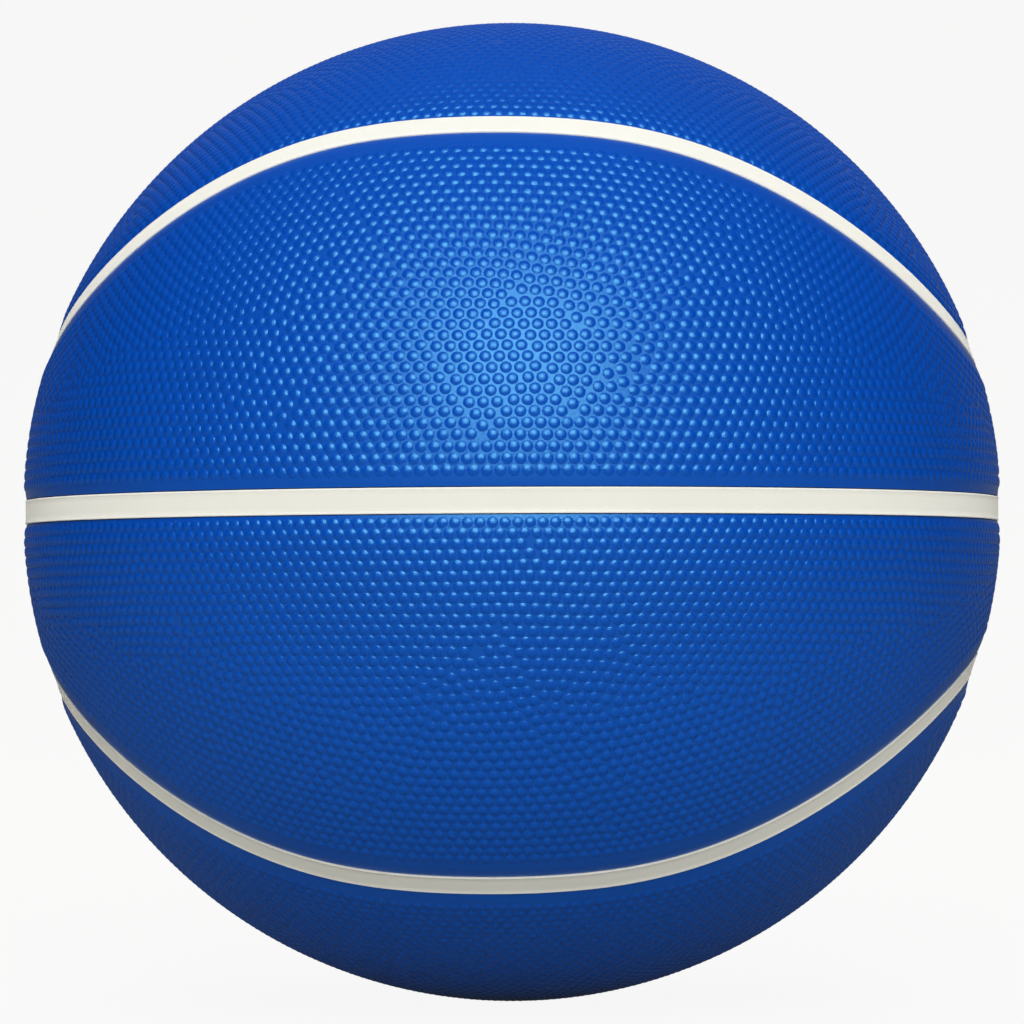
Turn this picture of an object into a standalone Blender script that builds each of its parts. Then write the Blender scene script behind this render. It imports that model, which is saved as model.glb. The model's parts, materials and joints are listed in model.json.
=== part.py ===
"""Size 7 rubber basketball in metres, +Z up, with its centre at the origin.

Eight cover panels lie between channel strips on a carcass, a thread winding and a bladder.
A valve housing passes through all layers at the back and holds a pull-out plug and a soft seal.
The level strip lies in the plane z = 0 and the upright strip in the plane y = 0.
"""

import math

import bmesh
import bpy
from mathutils import Matrix, Vector

# Ball, over the cover
CIRCUMFERENCE = 0.760
COVER_THICKNESS = 0.0018
CARCASS_THICKNESS = 0.0008
WINDING_THICKNESS = 0.0005
BLADDER_THICKNESS = 0.0007

# Space between pieces that touch
BOND_GAP = 0.0003

# Channel strips. The arcs run over the cover from the level strip's middle to an oval strip's middle
STRIP_WIDTH = 0.0058
STRIP_SINK = 0.00075
OVAL_ARC_AT_SIDES = 0.0387
OVAL_ARC_ON_DIAGONALS = 0.0793
OVAL_ARC_AT_FRONT = 0.0977

# Panel edges roll down to the strips
EDGE_ROLL_WIDTH = 0.0030
EDGE_DROP = 0.0011

# Valve at the back, above the level strip
VALVE_ARC = 0.0260
VALVE_FACE_SINK = 0.0004
SLEEVE_RADIUS = 0.0050
SLEEVE_BORE_RADIUS = 0.0032
SLEEVE_DEPTH = 0.0186
FLANGE_RADIUS = 0.0140
FLANGE_THICKNESS = 0.0012
BOSS_RADIUS = 0.0062
SEAT_THICKNESS = 0.0025
THROAT_RADIUS = 0.0015
SEAL_THICKNESS = 0.0025
PLUG_HEAD_LENGTH = 0.0016
PLUG_STEM_WALL_RELIEF = 0.0004
PLUG_RIB_LENGTH = 0.0009
NEEDLE_MOUTH_RADIUS = 0.0011
NEEDLE_MOUTH_DEPTH = 0.0018
NEEDLE_HOLE_RADIUS = 0.0005

# Facets
PANEL_FACET = 0.0130
TURNED_STEPS = 28
SHELL_ARCS = 14

# Radii that follow from the sizes above
COVER_RADIUS = CIRCUMFERENCE / (2.0 * math.pi)
COVER_SEAT_RADIUS = COVER_RADIUS - COVER_THICKNESS
FACET_DIP = 2.0 * PANEL_FACET**2 / (8.0 * COVER_SEAT_RADIUS)
CARCASS_RADIUS = COVER_SEAT_RADIUS - FACET_DIP - BOND_GAP
CARCASS_SEAT_RADIUS = CARCASS_RADIUS - CARCASS_THICKNESS
WINDING_RADIUS = CARCASS_SEAT_RADIUS - BOND_GAP
WINDING_SEAT_RADIUS = WINDING_RADIUS - WINDING_THICKNESS
BLADDER_RADIUS = WINDING_SEAT_RADIUS - BOND_GAP
BLADDER_INNER_RADIUS = BLADDER_RADIUS - BLADDER_THICKNESS
SLEEVE_HOLE_RADIUS = SLEEVE_RADIUS + BOND_GAP
PLUG_HEAD_RADIUS = SLEEVE_BORE_RADIUS - BOND_GAP
PLUG_STEM_RADIUS = PLUG_HEAD_RADIUS - PLUG_STEM_WALL_RELIEF

# Angles seen from the ball's centre
STRIP_HALF_ANGLE = 0.5 * STRIP_WIDTH / COVER_RADIUS
CHANNEL_HALF_ANGLE = STRIP_HALF_ANGLE + BOND_GAP / COVER_RADIUS
ROLL_ANGLE = EDGE_ROLL_WIDTH / COVER_RADIUS
OVAL_AT_SIDES = OVAL_ARC_AT_SIDES / COVER_RADIUS
OVAL_ON_DIAGONALS = OVAL_ARC_ON_DIAGONALS / COVER_RADIUS
OVAL_AT_FRONT = OVAL_ARC_AT_FRONT / COVER_RADIUS
OVAL_MIDDLE = 0.5 * (OVAL_AT_SIDES + OVAL_AT_FRONT)
OVAL_MEAN = 0.5 * (OVAL_MIDDLE + OVAL_ON_DIAGONALS)
OVAL_SWING = 0.5 * (OVAL_AT_SIDES - OVAL_AT_FRONT)
OVAL_SQUARENESS = 0.5 * (OVAL_MIDDLE - OVAL_ON_DIAGONALS)

# Heights along the valve's axis, from the ball's centre
RIM_HEIGHT = COVER_RADIUS - VALVE_FACE_SINK
SLEEVE_END_HEIGHT = RIM_HEIGHT - SLEEVE_DEPTH
SEAT_HEIGHT = SLEEVE_END_HEIGHT + SEAT_THICKNESS
SEAL_BOTTOM_HEIGHT = SEAT_HEIGHT + BOND_GAP
SEAL_TOP_HEIGHT = SEAL_BOTTOM_HEIGHT + SEAL_THICKNESS
PLUG_END_HEIGHT = SEAL_TOP_HEIGHT + BOND_GAP

BLUE = (0.004, 0.090, 0.480, 1.0)
CREAM = (0.830, 0.820, 0.760, 1.0)
BLACK = (0.018, 0.018, 0.020, 1.0)
GREY = (0.070, 0.072, 0.076, 1.0)
THREAD = (0.720, 0.700, 0.620, 1.0)
GUM = (0.420, 0.300, 0.160, 1.0)


def clear_scene():
    """Remove everything that a new file starts with."""
    for item in list(bpy.data.objects):
        bpy.data.objects.remove(item, do_unlink=True)


def new_collection(name):
    collection = bpy.data.collections.new(name)
    bpy.context.scene.collection.children.link(collection)
    return collection


def new_material(name, colour, roughness, metallic=0.0):
    material = bpy.data.materials.new(name)
    material.use_nodes = True
    shader = material.node_tree.nodes["Principled BSDF"]
    shader.inputs["Base Color"].default_value = colour
    shader.inputs["Roughness"].default_value = roughness
    shader.inputs["Metallic"].default_value = metallic
    material.diffuse_color = colour
    return material


def new_object(name, mesh, collection, colour, roughness):
    """Put a mesh in the scene as a named piece with its own material."""
    mesh.name = name
    piece = bpy.data.objects.new(name, mesh)
    collection.objects.link(piece)
    mesh.materials.clear()
    mesh.materials.append(new_material(name, colour, roughness))
    return piece


def face_outward(shape):
    """Turn the faces of a closed shape outward."""
    bmesh.ops.recalc_face_normals(shape, faces=shape.faces[:])
    if shape.calc_volume(signed=True) < 0.0:
        bmesh.ops.reverse_faces(shape, faces=shape.faces[:])


def oval_latitude(turn):
    """Angle of the oval strip's middle above the level strip, at a turn about Z from +X."""
    swing = OVAL_SWING * math.cos(2.0 * turn)
    return OVAL_MEAN + swing + OVAL_SQUARENESS * math.cos(4.0 * turn)


def oval_slope(turn):
    """How fast oval_latitude changes with the turn."""
    swing = -2.0 * OVAL_SWING * math.sin(2.0 * turn)
    return swing - 4.0 * OVAL_SQUARENESS * math.sin(4.0 * turn)


def oval_point(turn, offset):
    """Direction to the upper oval, moved by an angle across its path and away from the level strip."""
    height = oval_latitude(turn)
    slope = oval_slope(turn)
    along = Vector((-math.sin(turn), math.cos(turn), 0.0))
    outward = Vector((math.cos(turn), math.sin(turn), 0.0))
    middle = outward * math.cos(height) + Vector((0.0, 0.0, math.sin(height)))
    upward = Vector((0.0, 0.0, math.cos(height))) - outward * math.sin(height)
    across = (upward * math.cos(height) - along * slope).normalized()
    return middle * math.cos(offset) + across * math.sin(offset)


def level_point(turn, offset):
    """Direction to the level strip's middle, moved by an angle upward."""
    outward = Vector((math.cos(turn), math.sin(turn), 0.0))
    return outward * math.cos(offset) + Vector((0.0, 0.0, math.sin(offset)))


def upright_point(turn, offset):
    """Direction to the upright strip's middle, from +X over +Z, moved by an angle toward -Y."""
    outward = Vector((math.cos(turn), 0.0, math.sin(turn)))
    return outward * math.cos(offset) - Vector((0.0, math.sin(offset), 0.0))


def oval_corner(offset):
    """The turn, just in front of +X, where an edge of the oval meets the upright channel's edge."""
    target = math.sin(CHANNEL_HALF_ANGLE)
    low = 0.0
    high = 0.5
    for _ in range(60):
        middle = 0.5 * (low + high)
        if -oval_point(-middle, offset).y < target:
            low = middle
        else:
            high = middle
    return -low


def ring_turns():
    """Turns from +X toward the front at which panels and rings share their points, over half a ring."""
    corner = CHANNEL_HALF_ANGLE / math.cos(OVAL_AT_SIDES)
    roll = corner + ROLL_ANGLE / math.cos(OVAL_AT_SIDES)
    span = math.pi - 2.0 * roll
    count = max(6, round(span * COVER_RADIUS / PANEL_FACET))
    inner = [roll + span * step / count for step in range(count + 1)]
    return [corner] + inner + [math.pi - corner]


def spaced(index, steps, roll_share):
    """Place from 0 to 1 of a grid line, with the first and last space kept for the rolled edge."""
    if index == 0:
        return 0.0
    if index == steps:
        return 1.0
    inner = (index - 1) / (steps - 2)
    return roll_share + inner * (1.0 - 2.0 * roll_share)


def apart(first, second):
    """Angle between two directions, and 0 where they meet."""
    if (first - second).length < 1e-5:
        return 0.0
    return first.angle(second)


def between(first, second, share):
    """Direction part of the way along the great circle from one direction to another."""
    if apart(first, second) == 0.0:
        return first.copy()
    return first.slerp(second, share)


def cover_panel(name, near_edge, far_edge, rows, mirror, collection):
    """A cover panel on a grid between two edge curves, rolled down along its rim."""
    mesh = bpy.data.meshes.new(name)
    columns = len(ring_turns()) - 1
    shape = bmesh.new()
    bmesh.ops.create_grid(shape, x_segments=columns, y_segments=rows, size=0.5)
    for vertex in shape.verts:
        column = round((vertex.co.x + 0.5) * columns)
        row = round((vertex.co.y + 0.5) * rows)
        near = near_edge(column)
        far = far_edge(column)
        roll_share = 0.5 / rows
        if apart(near, far) > 0.0:
            roll_share = min(roll_share, ROLL_ANGLE / apart(near, far))
        direction = between(near, far, spaced(row, rows, roll_share))
        on_rim = column in (0, columns) or row in (0, rows)
        radius = COVER_RADIUS - (EDGE_DROP if on_rim else 0.0)
        vertex.co = direction.normalized() * radius
    bmesh.ops.remove_doubles(shape, verts=shape.verts[:], dist=0.00005)
    made = bmesh.ops.extrude_face_region(shape, geom=shape.faces[:], use_keep_orig=True)
    for item in made["geom"]:
        if isinstance(item, bmesh.types.BMVert):
            item.co = item.co.normalized() * COVER_SEAT_RADIUS
    for vertex in shape.verts:
        vertex.co.y *= mirror[0]
        vertex.co.z *= mirror[1]
    face_outward(shape)
    shape.to_mesh(mesh)
    shape.free()
    return new_object(name, mesh, collection, BLUE, 0.42)


def cover_panels(collection):
    """Four panels beside the level strip and four inside the ovals."""
    turns = ring_turns()
    last = len(turns) - 1
    upper_corner = oval_point(oval_corner(CHANNEL_HALF_ANGLE), CHANNEL_HALF_ANGLE)
    upright_start = math.atan2(upper_corner.z, upper_corner.x)
    upright_span = math.pi - 2.0 * upright_start

    def turn_at(column, corner):
        if column == 0:
            return corner
        if column == last:
            return -math.pi - corner
        return -turns[column]

    def level_edge(column):
        corner = -math.asin(math.tan(CHANNEL_HALF_ANGLE))
        return level_point(turn_at(column, corner), CHANNEL_HALF_ANGLE)

    def oval_lower_edge(column):
        corner = oval_corner(-CHANNEL_HALF_ANGLE)
        return oval_point(turn_at(column, corner), -CHANNEL_HALF_ANGLE)

    def upright_edge(column):
        share = spaced(column, last, ROLL_ANGLE / upright_span)
        return upright_point(upright_start + share * upright_span, CHANNEL_HALF_ANGLE)

    def oval_upper_edge(column):
        corner = oval_corner(CHANNEL_HALF_ANGLE)
        return oval_point(turn_at(column, corner), CHANNEL_HALF_ANGLE)

    side_rows = max(4, round(OVAL_ARC_AT_FRONT / PANEL_FACET))
    cap_depth = 0.5 * math.pi * COVER_RADIUS - OVAL_ARC_AT_FRONT
    cap_rows = max(4, round(cap_depth / PANEL_FACET) + 1)
    panels = {}
    for side, depth_sign in (("front", 1.0), ("back", -1.0)):
        for half, cap, height_sign in (("upper", "top", 1.0), ("lower", "bottom", -1.0)):
            mirror = (depth_sign, height_sign)
            name = f"panel_{side}_{half}"
            panels[name] = cover_panel(
                name, level_edge, oval_lower_edge, side_rows, mirror, collection
            )
            name = f"panel_{cap}_{side}"
            panels[name] = cover_panel(
                name, upright_edge, oval_upper_edge, cap_rows, mirror, collection
            )
    return panels


def screw_object(name, profile, closed, steps, angle, collection, colour, roughness):
    """A profile of (radius, height) points turned about the local Z axis."""
    mesh = bpy.data.meshes.new(name)
    points = [(radius, 0.0, height) for radius, height in profile]
    edges = [(index, index + 1) for index in range(len(points) - 1)]
    if closed:
        edges.append((len(points) - 1, 0))
    mesh.from_pydata(points, edges, [])
    piece = new_object(name, mesh, collection, colour, roughness)
    screw = piece.modifiers.new("Turn", "SCREW")
    screw.axis = "Z"
    screw.angle = angle
    screw.steps = steps
    screw.render_steps = steps
    screw.use_merge_vertices = True
    screw.merge_threshold = 0.00001
    screw.use_smooth_shade = False
    return piece


def strip_profile():
    """Section of a channel strip: (radius, distance across), with its outer face sunk below the cover."""
    half = 0.5 * STRIP_WIDTH
    outer = COVER_RADIUS - STRIP_SINK
    return [(outer, half), (outer, -half), (COVER_SEAT_RADIUS, -half), (COVER_SEAT_RADIUS, half)]


def bent_strip(name, path, stations, whole, mirror, collection):
    """A turned strip laid along a path on the ball: a ring, or a length with its ends closed."""
    steps = len(stations) if whole else len(stations) - 1
    angle = 2.0 * math.pi if whole else math.pi
    turned = screw_object(name, strip_profile(), True, steps, angle, collection, CREAM, 0.5)
    graph = bpy.context.evaluated_depsgraph_get()
    mesh = bpy.data.meshes.new_from_object(turned.evaluated_get(graph))
    bpy.data.objects.remove(turned, do_unlink=True)
    shape = bmesh.new()
    shape.from_mesh(mesh)
    if not whole:
        bmesh.ops.holes_fill(shape, edges=shape.edges[:], sides=0)
    for vertex in shape.verts:
        turn = math.atan2(vertex.co.y, vertex.co.x) % (2.0 * math.pi)
        station = stations[round(turn * steps / angle) % (steps + (0 if whole else 1))]
        radius = math.hypot(vertex.co.x, vertex.co.y)
        vertex.co = path(station, vertex.co.z / COVER_RADIUS) * radius
        vertex.co.x *= mirror[0]
        vertex.co.z *= mirror[1]
    face_outward(shape)
    shape.to_mesh(mesh)
    shape.free()
    return new_object(name, mesh, collection, CREAM, 0.5)


def even_stations(start, end):
    """Evenly spaced turns from start to end, both included."""
    count = max(3, round((end - start) * COVER_RADIUS / PANEL_FACET))
    return [start + (end - start) * step / count for step in range(count + 1)]


def channel_strips(collection):
    """Three rings, and six lengths of the upright strip that butt against them."""
    half_ring = ring_turns()
    ring = half_ring + [2.0 * math.pi - turn for turn in reversed(half_ring)]
    bent_strip("equator_strip", level_point, ring, True, (1.0, 1.0), collection)
    bent_strip("upper_loop_strip", oval_point, ring, True, (1.0, 1.0), collection)
    bent_strip("lower_loop_strip", oval_point, ring, True, (1.0, -1.0), collection)
    butt = CHANNEL_HALF_ANGLE
    corner = oval_point(oval_corner(butt), butt)
    above = math.atan2(corner.z, corner.x)
    below = OVAL_AT_SIDES - butt
    side_stations = even_stations(butt, below)
    cap_stations = even_stations(above, math.pi - above)
    for half, height_sign, cap in (("upper", 1.0, "top"), ("lower", -1.0, "bottom")):
        for side, side_sign in (("right", 1.0), ("left", -1.0)):
            name = f"meridian_strip_{side}_{half}"
            mirror = (side_sign, height_sign)
            bent_strip(name, upright_point, side_stations, False, mirror, collection)
        name = f"meridian_strip_{cap}"
        mirror = (1.0, height_sign)
        bent_strip(name, upright_point, cap_stations, False, mirror, collection)


def valve_frame():
    """Turns local Z to the valve's axis at the back of the ball."""
    height = VALVE_ARC / COVER_RADIUS
    axis = Vector((0.0, math.cos(height), math.sin(height)))
    side = Vector((1.0, 0.0, 0.0))
    other = axis.cross(side)
    return Matrix((side, other, axis)).transposed().to_4x4()


def on_sphere(radius, off_axis):
    """Height along the axis of a sphere's point at a distance from the axis."""
    return math.sqrt(radius * radius - off_axis * off_axis)


def shell_angles():
    """Angles from the valve's axis of a shell's points: hole rim, flange rim, then even steps."""
    rim = math.asin(SLEEVE_HOLE_RADIUS / BLADDER_INNER_RADIUS)
    flange = math.asin((FLANGE_RADIUS + BOND_GAP) / BLADDER_INNER_RADIUS)
    angles = [rim, flange]
    for step in range(1, SHELL_ARCS + 1):
        angles.append(flange + step * (math.pi - flange) / SHELL_ARCS)
    return angles


def layer_shell(name, outer, inner, collection, colour, roughness):
    """A whole ball layer, turned about the valve's axis, with the valve's hole as its opening."""
    profile = []
    for angle in shell_angles():
        profile.append((max(0.0, outer * math.sin(angle)), outer * math.cos(angle)))
    profile[-1] = (0.0, -outer)
    lining = []
    for angle in shell_angles():
        lining.append((max(0.0, inner * math.sin(angle)), inner * math.cos(angle)))
    lining[-1] = (0.0, -inner)
    profile[0] = (SLEEVE_HOLE_RADIUS, on_sphere(outer, SLEEVE_HOLE_RADIUS))
    lining[0] = (SLEEVE_HOLE_RADIUS, on_sphere(inner, SLEEVE_HOLE_RADIUS))
    outline = list(reversed(lining)) + profile
    piece = screw_object(
        name, outline, False, TURNED_STEPS, 2.0 * math.pi, collection, colour, roughness
    )
    piece.matrix_world = valve_frame()
    return piece


def ball_layers(collection):
    layer_shell("carcass", CARCASS_RADIUS, CARCASS_SEAT_RADIUS, collection, GREY, 0.6)
    layer_shell("thread_winding", WINDING_RADIUS, WINDING_SEAT_RADIUS, collection, THREAD, 0.7)
    layer_shell("bladder", BLADDER_RADIUS, BLADDER_INNER_RADIUS, collection, BLACK, 0.45)


def valve_pieces(collection, cutters, panel):
    """Sleeve with its flange under the bladder, seal on its seat, pull-out plug, and the panel's hole."""
    under = BLADDER_INNER_RADIUS - BOND_GAP
    flange_neck = on_sphere(under, SLEEVE_RADIUS)
    flange_rim = on_sphere(under, FLANGE_RADIUS)
    sleeve = [
        (SLEEVE_BORE_RADIUS, RIM_HEIGHT),
        (SLEEVE_RADIUS, RIM_HEIGHT),
        (SLEEVE_RADIUS, flange_neck),
        (FLANGE_RADIUS, flange_rim),
        (FLANGE_RADIUS, flange_rim - 0.5 * FLANGE_THICKNESS),
        (BOSS_RADIUS, flange_neck - FLANGE_THICKNESS),
        (BOSS_RADIUS, SLEEVE_END_HEIGHT),
        (THROAT_RADIUS, SLEEVE_END_HEIGHT),
        (THROAT_RADIUS, SEAT_HEIGHT),
        (SLEEVE_BORE_RADIUS, SEAT_HEIGHT),
    ]
    full = 2.0 * math.pi
    housing = screw_object(
        "valve_housing", sleeve, True, TURNED_STEPS, full, collection, BLACK, 0.5
    )
    housing.matrix_world = valve_frame()

    seal_outline = [
        (0.0, SEAL_TOP_HEIGHT),
        (PLUG_HEAD_RADIUS, SEAL_TOP_HEIGHT),
        (PLUG_HEAD_RADIUS, SEAL_BOTTOM_HEIGHT),
        (0.0, SEAL_BOTTOM_HEIGHT),
    ]
    seal = screw_object(
        "valve_seal", seal_outline, False, TURNED_STEPS, full, collection, GUM, 0.6
    )
    seal.matrix_world = valve_frame()

    end = PLUG_END_HEIGHT - RIM_HEIGHT
    rib_middle = -PLUG_HEAD_LENGTH + 0.5 * (end + PLUG_HEAD_LENGTH)
    plug_outline = [
        (NEEDLE_MOUTH_RADIUS, 0.0),
        (PLUG_HEAD_RADIUS, 0.0),
        (PLUG_HEAD_RADIUS, -PLUG_HEAD_LENGTH),
        (PLUG_STEM_RADIUS, -PLUG_HEAD_LENGTH),
        (PLUG_STEM_RADIUS, rib_middle + 0.5 * PLUG_RIB_LENGTH),
        (PLUG_HEAD_RADIUS, rib_middle),
        (PLUG_STEM_RADIUS, rib_middle - 0.5 * PLUG_RIB_LENGTH),
        (PLUG_STEM_RADIUS, end + PLUG_RIB_LENGTH),
        (PLUG_HEAD_RADIUS, end + 0.5 * PLUG_RIB_LENGTH),
        (PLUG_STEM_RADIUS, end),
        (NEEDLE_HOLE_RADIUS, end),
        (NEEDLE_HOLE_RADIUS, -NEEDLE_MOUTH_DEPTH),
    ]
    plug = screw_object(
        "valve_plug", plug_outline, True, TURNED_STEPS, full, collection, BLACK, 0.45
    )
    plug.matrix_world = valve_frame() @ Matrix.Translation((0.0, 0.0, RIM_HEIGHT))

    hole_outline = [
        (0.0, COVER_RADIUS + COVER_THICKNESS),
        (SLEEVE_HOLE_RADIUS, COVER_RADIUS + COVER_THICKNESS),
        (SLEEVE_HOLE_RADIUS, COVER_SEAT_RADIUS - COVER_THICKNESS),
        (0.0, COVER_SEAT_RADIUS - COVER_THICKNESS),
    ]
    cutter = screw_object(
        "valve_hole_cutter", hole_outline, False, TURNED_STEPS, full, cutters, GREY, 0.5
    )
    cutter.matrix_world = valve_frame()
    cutter.hide_render = True
    cutter.display_type = "WIRE"
    hole = panel.modifiers.new("Valve hole", "BOOLEAN")
    hole.operation = "DIFFERENCE"
    hole.solver = "EXACT"
    hole.object = cutter


def main():
    clear_scene()
    collection = new_collection("basketball")
    cutters = new_collection("cutters")
    panels = cover_panels(collection)
    channel_strips(collection)
    ball_layers(collection)
    valve_pieces(collection, cutters, panels["panel_back_upper"])
    bpy.context.view_layer.update()


main()
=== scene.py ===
"""Blue rubber basketball with cream channel strips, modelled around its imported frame.

Run as a script, it registers its operators and calls them in order.
Lengths are in metres, +Z is up and the ball's centre is the origin.
"""

import heapq
import json
import math

import bpy
import numpy as np
from mathutils import Matrix, Vector, kdtree
from mathutils.geometry import delaunay_2d_cdt


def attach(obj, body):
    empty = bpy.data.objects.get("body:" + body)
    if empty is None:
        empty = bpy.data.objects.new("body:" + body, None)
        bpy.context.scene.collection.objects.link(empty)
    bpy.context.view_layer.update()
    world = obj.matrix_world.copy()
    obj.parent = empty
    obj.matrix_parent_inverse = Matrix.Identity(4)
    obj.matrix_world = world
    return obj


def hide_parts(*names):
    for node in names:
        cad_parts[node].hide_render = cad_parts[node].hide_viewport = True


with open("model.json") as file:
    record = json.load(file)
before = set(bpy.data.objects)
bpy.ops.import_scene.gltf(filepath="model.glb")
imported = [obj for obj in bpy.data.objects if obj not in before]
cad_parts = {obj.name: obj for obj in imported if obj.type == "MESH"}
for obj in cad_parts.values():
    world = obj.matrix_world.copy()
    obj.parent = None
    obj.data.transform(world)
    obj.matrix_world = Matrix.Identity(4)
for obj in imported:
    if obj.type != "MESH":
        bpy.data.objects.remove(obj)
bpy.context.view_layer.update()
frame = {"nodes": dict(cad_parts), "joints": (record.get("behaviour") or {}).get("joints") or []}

bl_info = {
    "name": "Pebbled Basketball",
    "version": (1, 0, 0),
    "blender": (4, 5, 0),
    "location": "View3D > Sidebar > Basketball",
    "description": "Moulds a pebbled rubber basketball with channel strips and a valve",
    "category": "Object",
}

MM = 0.001
FULL_TURN = 2.0 * math.pi
CENTRE = (0.0, 0.0, 0.0)
RIGHT = Vector((1.0, 0.0, 0.0))
RISE = Vector((0.0, 0.0, 1.0))
WHITE = (1.0, 1.0, 1.0, 1.0)
VALVE_AXIS = Vector(frame["joints"][0]["axis"]).normalized()

# Each finish: its name, roughness, how far that varies, and the height of its fine skin.
FINISHES = {
    "cover": ("Pebbled blue rubber", 0.34, 0.05, 0.07 * MM),
    "strip": ("Cream strip rubber", 0.50, 0.06, 0.01 * MM),
    "valve": ("Black valve rubber", 0.42, 0.07, 0.01 * MM),
    "carcass": ("Grey carcass rubber", 0.60, 0.08, 0.02 * MM),
    "thread": ("Wound nylon thread", 0.70, 0.08, 0.02 * MM),
    "bladder": ("Black butyl", 0.45, 0.06, 0.01 * MM),
    "gum": ("Gum seal", 0.60, 0.08, 0.015 * MM),
}
CLOUD_SCALE = 40.0
GRAIN_SCALE = 2600.0


def length(name, description, default):
    """A length in metres, shown with five digits."""
    return bpy.props.FloatProperty(
        name=name, description=description, default=default, unit="LENGTH", precision=5
    )


def angle(name, description, degrees):
    """An angle, given in degrees and kept in radians."""
    return bpy.props.FloatProperty(
        name=name, description=description, default=math.radians(degrees), unit="ROTATION"
    )


def number(name, description, default):
    """A plain number."""
    return bpy.props.FloatProperty(name=name, description=description, default=default)


def colour(name, description, default):
    """A linear colour."""
    return bpy.props.FloatVectorProperty(
        name=name, description=description, default=default, subtype="COLOR", size=3, min=0.0, max=1.0
    )


class BallShape(bpy.types.PropertyGroup):
    """Sizes of the cover and its channels."""

    radius: length("Radius", "Over the tops of the pebbles", 0.1209578)
    cover_thickness: length("Cover thickness", "From the pebble tops to the inner skin", 1.8 * MM)
    strip_width: length("Strip width", "Across a channel strip", 5.8 * MM)
    strip_sink: length("Strip sink", "From the pebble tops down to a strip's face", 0.75 * MM)
    lip_height: length("Lip height", "Of the lips along a strip's edges", 0.12 * MM)
    strip_play: length("Strip play", "Between a strip's side and a panel's rim", 0.22 * MM)
    oval_at_sides: length("Oval at sides", "Arc from the level strip to an oval at the sides", 38.7 * MM)
    oval_on_diagonals: length("Oval on diagonals", "The same arc on the diagonals", 79.3 * MM)
    oval_at_front: length("Oval at front", "The same arc at the front", 97.7 * MM)
    roll_drop: length("Roll drop", "How far a panel's rim rolls down to its strip", 0.60 * MM)
    roll_length: length("Roll length", "Over which the roll fades away from the rim", 5.0 * MM)


class PebbleShape(bpy.types.PropertyGroup):
    """Sizes of the pebbles and of the bare margins beside the strips."""

    upper_pitch: length("Upper pitch", "Between pebbles on the upper side panels", 2.97 * MM)
    lower_pitch: length("Lower pitch", "Between pebbles on the lower side panels", 2.78 * MM)
    cap_pitch: length("Cap pitch", "Between pebbles inside the ovals", 2.82 * MM)
    foot_share: number("Foot share", "Radius of a pebble's foot as a share of the pitch", 0.455)
    height: length("Height", "Of a pebble above the cover around it", 0.34 * MM)
    shoulder_rise: number("Shoulder rise", "Height of a pebble's shoulder as a share of its height", 0.70)
    shoulder_inset: number("Shoulder inset", "From foot to shoulder as a share of the foot", 0.30)
    wide_margin: length("Wide margin", "From the level strip up to the first row", 3.4 * MM)
    close_margin: length("Close margin", "From the level strip down to the first row", 1.75 * MM)
    high_margin: length("High margin", "From the upper oval down to the first row", 6.0 * MM)
    low_margin: length("Low margin", "From the lower oval up to the first row", 6.4 * MM)
    cap_margin: length("Cap margin", "From the upper oval in to the first row", 1.65 * MM)
    base_margin: length("Base margin", "From the lower oval in to the first row", 4.6 * MM)
    upright_margin: length("Upright margin", "From the upright strip to the first row", 2.2 * MM)
    valve_margin: length("Valve margin", "From the valve's hole to the first ring", 2.6 * MM)


class ValveShape(bpy.types.PropertyGroup):
    """Sizes of the valve's sleeve and plug."""

    face_sink: length("Face sink", "From the pebble tops down to the sleeve's rim", 0.4 * MM)
    sleeve_radius: length("Sleeve radius", "Outside the sleeve", 5.0 * MM)
    bore_radius: length("Bore radius", "Inside the sleeve", 3.2 * MM)
    sleeve_depth: length("Sleeve depth", "From the rim to the sleeve's inner end", 18.6 * MM)
    seat_thickness: length("Seat thickness", "Of the sleeve's floor", 2.5 * MM)
    throat_radius: length("Throat radius", "Of the air way through the floor", 1.5 * MM)
    flange_radius: length("Flange radius", "Of the flange under the bladder", 14.0 * MM)
    neck_depth: length("Neck depth", "From the rim to the flange's root", 5.063 * MM)
    flange_depth: length("Flange depth", "From the rim to the flange's outer edge", 5.805 * MM)
    flange_edge: length("Flange edge", "Thickness at the flange's outer edge", 0.6 * MM)
    flange_thickness: length("Flange thickness", "At the flange's root", 1.2 * MM)
    boss_radius: length("Boss radius", "Of the sleeve below its flange", 6.2 * MM)
    plug_length: length("Plug length", "From the plug's face to its end", 13.0 * MM)
    plug_head: length("Plug head", "Length of the plug's head", 1.6 * MM)
    plug_radius: length("Plug radius", "Of the plug's head and ribs", 2.9 * MM)
    stem_radius: length("Stem radius", "Of the plug between its ribs", 2.5 * MM)
    rib_length: length("Rib length", "Of one rib along the plug", 0.9 * MM)
    mouth_radius: length("Mouth radius", "Of the funnel for the needle", 1.1 * MM)
    mouth_depth: length("Mouth depth", "Of the funnel for the needle", 1.8 * MM)
    needle_radius: length("Needle radius", "Of the needle's way through the plug", 0.5 * MM)
    edge_radius: length("Edge radius", "Of the softened edges", 0.35 * MM)
    hole_radius: length("Hole radius", "Of the panel's hole for the sleeve", 5.1 * MM)


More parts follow.
